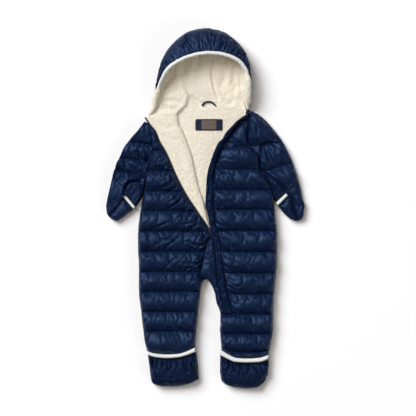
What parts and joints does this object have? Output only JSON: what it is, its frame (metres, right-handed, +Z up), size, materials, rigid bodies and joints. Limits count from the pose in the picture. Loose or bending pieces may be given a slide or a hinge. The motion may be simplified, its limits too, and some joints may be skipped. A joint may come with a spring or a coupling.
{
  "type": "baby snowsuit",
  "caption": "Hooded baby snowsuit of quilted navy cloth with a fleece lining, laid flat on its back, its front zip open to one side, with fold-over mitten and foot flaps.",
  "frame": {"origin": "middle of the suit's box on the surface that it lies on", "axes": "+X across the suit towards its wearer's left, +Y up the suit towards the hood, +Z up from the surface"},
  "size_m": [0.4366, 0.7908, 0.0668],
  "materials": {
    "navy_nylon": "light glossy nylon taffeta over down, with crisp creases",
    "cream_fleece": "short curly sherpa pile, matt",
    "white_elastic": "folded elastic braid, satin",
    "navy_tape": "woven tape, matt",
    "brown_woven": "dense woven label, matt"
  },
  "bodies": {
    "root": {"back": "navy_nylon", "back_lining": "cream_fleece", "front_right": "navy_nylon", "front_left": "navy_nylon", "zip_cover": "navy_nylon", "gusset": "navy_nylon", "zip_right": "navy_tape", "facing_right": "cream_fleece", "sleeve_right_front": "navy_nylon", "sleeve_right_back": "navy_nylon", "sleeve_left_front": "navy_nylon", "sleeve_left_back": "navy_nylon", "mitten_right": "navy_nylon", "mitten_left": "navy_nylon", "cuff_binding_right": "white_elastic", "cuff_binding_left": "white_elastic", "foot_right": "navy_nylon", "foot_left": "navy_nylon", "foot_binding_right": "white_elastic", "foot_binding_left": "white_elastic", "hood_side_right": "navy_nylon", "hood_centre": "navy_nylon", "hood_side_left": "navy_nylon", "hood_lining_side_right": "cream_fleece", "hood_lining_centre": "cream_fleece", "hood_lining_side_left": "cream_fleece", "hood_binding": "white_elastic", "neck_label": "navy_tape", "label_patch": "brown_woven", "hanger_loop": "navy_tape"}
  },
  "joints": []
}
